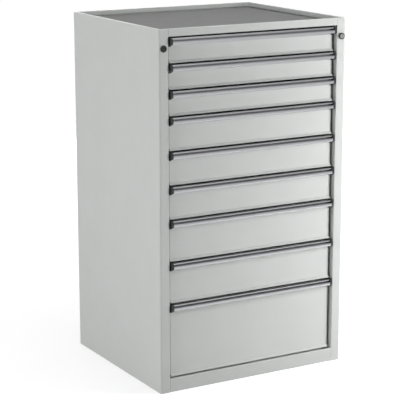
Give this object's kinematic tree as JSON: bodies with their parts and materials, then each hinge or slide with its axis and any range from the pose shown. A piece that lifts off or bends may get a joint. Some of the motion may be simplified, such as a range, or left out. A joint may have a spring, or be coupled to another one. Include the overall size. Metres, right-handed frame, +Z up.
{
  "type": "industrial drawer cabinet",
  "caption": "Free-standing steel tool cabinet with full-width sliding drawers of graded heights, bar handles, a recessed top with a mat and a key lock in a corner post.",
  "frame": {"origin": "on the floor under the middle of the whole outline, with the handles included in its depth", "axes": "+Z up, the drawers open towards -Y, +X to the right of someone who faces the drawers"},
  "size_m": [0.632, 0.5546, 1.067],
  "materials": {
    "case_paint": "fine powder coat, satin, light grey",
    "front_paint": "smooth powder coat, satin, light grey",
    "drawer_paint": "fine powder coat, satin, light grey",
    "zinc_steel": "zinc plated, dull",
    "handle_aluminium": "extruded and clear anodised",
    "black_plastic": "moulded, fine texture",
    "mat_rubber": "ribless matt rubber, grey",
    "lock_nickel": "nickel plated, slightly dulled"
  },
  "bodies": {
    "cabinet": {"left_side_panel": "case_paint", "right_side_panel": "case_paint", "back_panel": "case_paint", "base_panel": "case_paint", "bottom_front_rail": "case_paint", "top_front_rail": "case_paint", "top_panel": "case_paint", "top_mat": "mat_rubber", "left_runner_rack": "zinc_steel", "right_runner_rack": "zinc_steel", "lock_housing": "lock_nickel", "lock_nut": "zinc_steel", "blanking_plug": "black_plastic"},
    "lock_barrel": {"lock_barrel": "lock_nickel"},
    "lock_bar": {"lock_bar": "zinc_steel"},
    "drawer_1": {"drawer_1_front": "front_paint", "drawer_1_box": "drawer_paint", "drawer_1_handle": "handle_aluminium", "drawer_1_cap_left": "black_plastic", "drawer_1_cap_right": "black_plastic"},
    "drawer_2": {"drawer_2_front": "front_paint", "drawer_2_box": "drawer_paint", "drawer_2_handle": "handle_aluminium", "drawer_2_cap_left": "black_plastic", "drawer_2_cap_right": "black_plastic"},
    "drawer_3": {"drawer_3_front": "front_paint", "drawer_3_box": "drawer_paint", "drawer_3_handle": "handle_aluminium", "drawer_3_cap_left": "black_plastic", "drawer_3_cap_right": "black_plastic"},
    "drawer_4": {"drawer_4_front": "front_paint", "drawer_4_box": "drawer_paint", "drawer_4_handle": "handle_aluminium", "drawer_4_cap_left": "black_plastic", "drawer_4_cap_right": "black_plastic"},
    "drawer_5": {"drawer_5_front": "front_paint", "drawer_5_box": "drawer_paint", "drawer_5_handle": "handle_aluminium", "drawer_5_cap_left": "black_plastic", "drawer_5_cap_right": "black_plastic"},
    "drawer_6": {"drawer_6_front": "front_paint", "drawer_6_box": "drawer_paint", "drawer_6_handle": "handle_aluminium", "drawer_6_cap_left": "black_plastic", "drawer_6_cap_right": "black_plastic"},
    "drawer_7": {"drawer_7_front": "front_paint", "drawer_7_box": "drawer_paint", "drawer_7_handle": "handle_aluminium", "drawer_7_cap_left": "black_plastic", "drawer_7_cap_right": "black_plastic"},
    "drawer_8": {"drawer_8_front": "front_paint", "drawer_8_box": "drawer_paint", "drawer_8_handle": "handle_aluminium", "drawer_8_cap_left": "black_plastic", "drawer_8_cap_right": "black_plastic"},
    "drawer_9": {"drawer_9_front": "front_paint", "drawer_9_box": "drawer_paint", "drawer_9_handle": "handle_aluminium", "drawer_9_cap_left": "black_plastic", "drawer_9_cap_right": "black_plastic"}
  },
  "joints": [
    {"name": "drawer_1_slide", "type": "slide", "parent": "cabinet", "child": "drawer_1", "axis": [0, -1, 0], "range_m": [0, 0.4]},
    {"name": "drawer_2_slide", "type": "slide", "parent": "cabinet", "child": "drawer_2", "axis": [0, -1, 0], "range_m": [0, 0.4]},
    {"name": "drawer_3_slide", "type": "slide", "parent": "cabinet", "child": "drawer_3", "axis": [0, -1, 0], "range_m": [0, 0.4]},
    {"name": "drawer_4_slide", "type": "slide", "parent": "cabinet", "child": "drawer_4", "axis": [0, -1, 0], "range_m": [0, 0.4]},
    {"name": "drawer_5_slide", "type": "slide", "parent": "cabinet", "child": "drawer_5", "axis": [0, -1, 0], "range_m": [0, 0.4]},
    {"name": "drawer_6_slide", "type": "slide", "parent": "cabinet", "child": "drawer_6", "axis": [0, -1, 0], "range_m": [0, 0.4]},
    {"name": "drawer_7_slide", "type": "slide", "parent": "cabinet", "child": "drawer_7", "axis": [0, -1, 0], "range_m": [0, 0.4]},
    {"name": "drawer_8_slide", "type": "slide", "parent": "cabinet", "child": "drawer_8", "axis": [0, -1, 0], "range_m": [0, 0.4]},
    {"name": "drawer_9_slide", "type": "slide", "parent": "cabinet", "child": "drawer_9", "axis": [0, -1, 0], "range_m": [0, 0.4]},
    {"name": "lock_turn", "type": "hinge", "parent": "cabinet", "child": "lock_barrel", "pos_m": [0.3005, -0.2707, 1.012], "axis": [0, 1, 0], "range_deg": [0, 90]},
    {"name": "lock_bar_lift", "type": "slide", "parent": "cabinet", "child": "lock_bar", "axis": [0, 0, 1], "range_m": [0, 0.01]}
  ],
  "couplings": [
    {"joint": "lock_turn", "follows": "lock_bar_lift", "rad_per_m": 157.08}
  ]
}
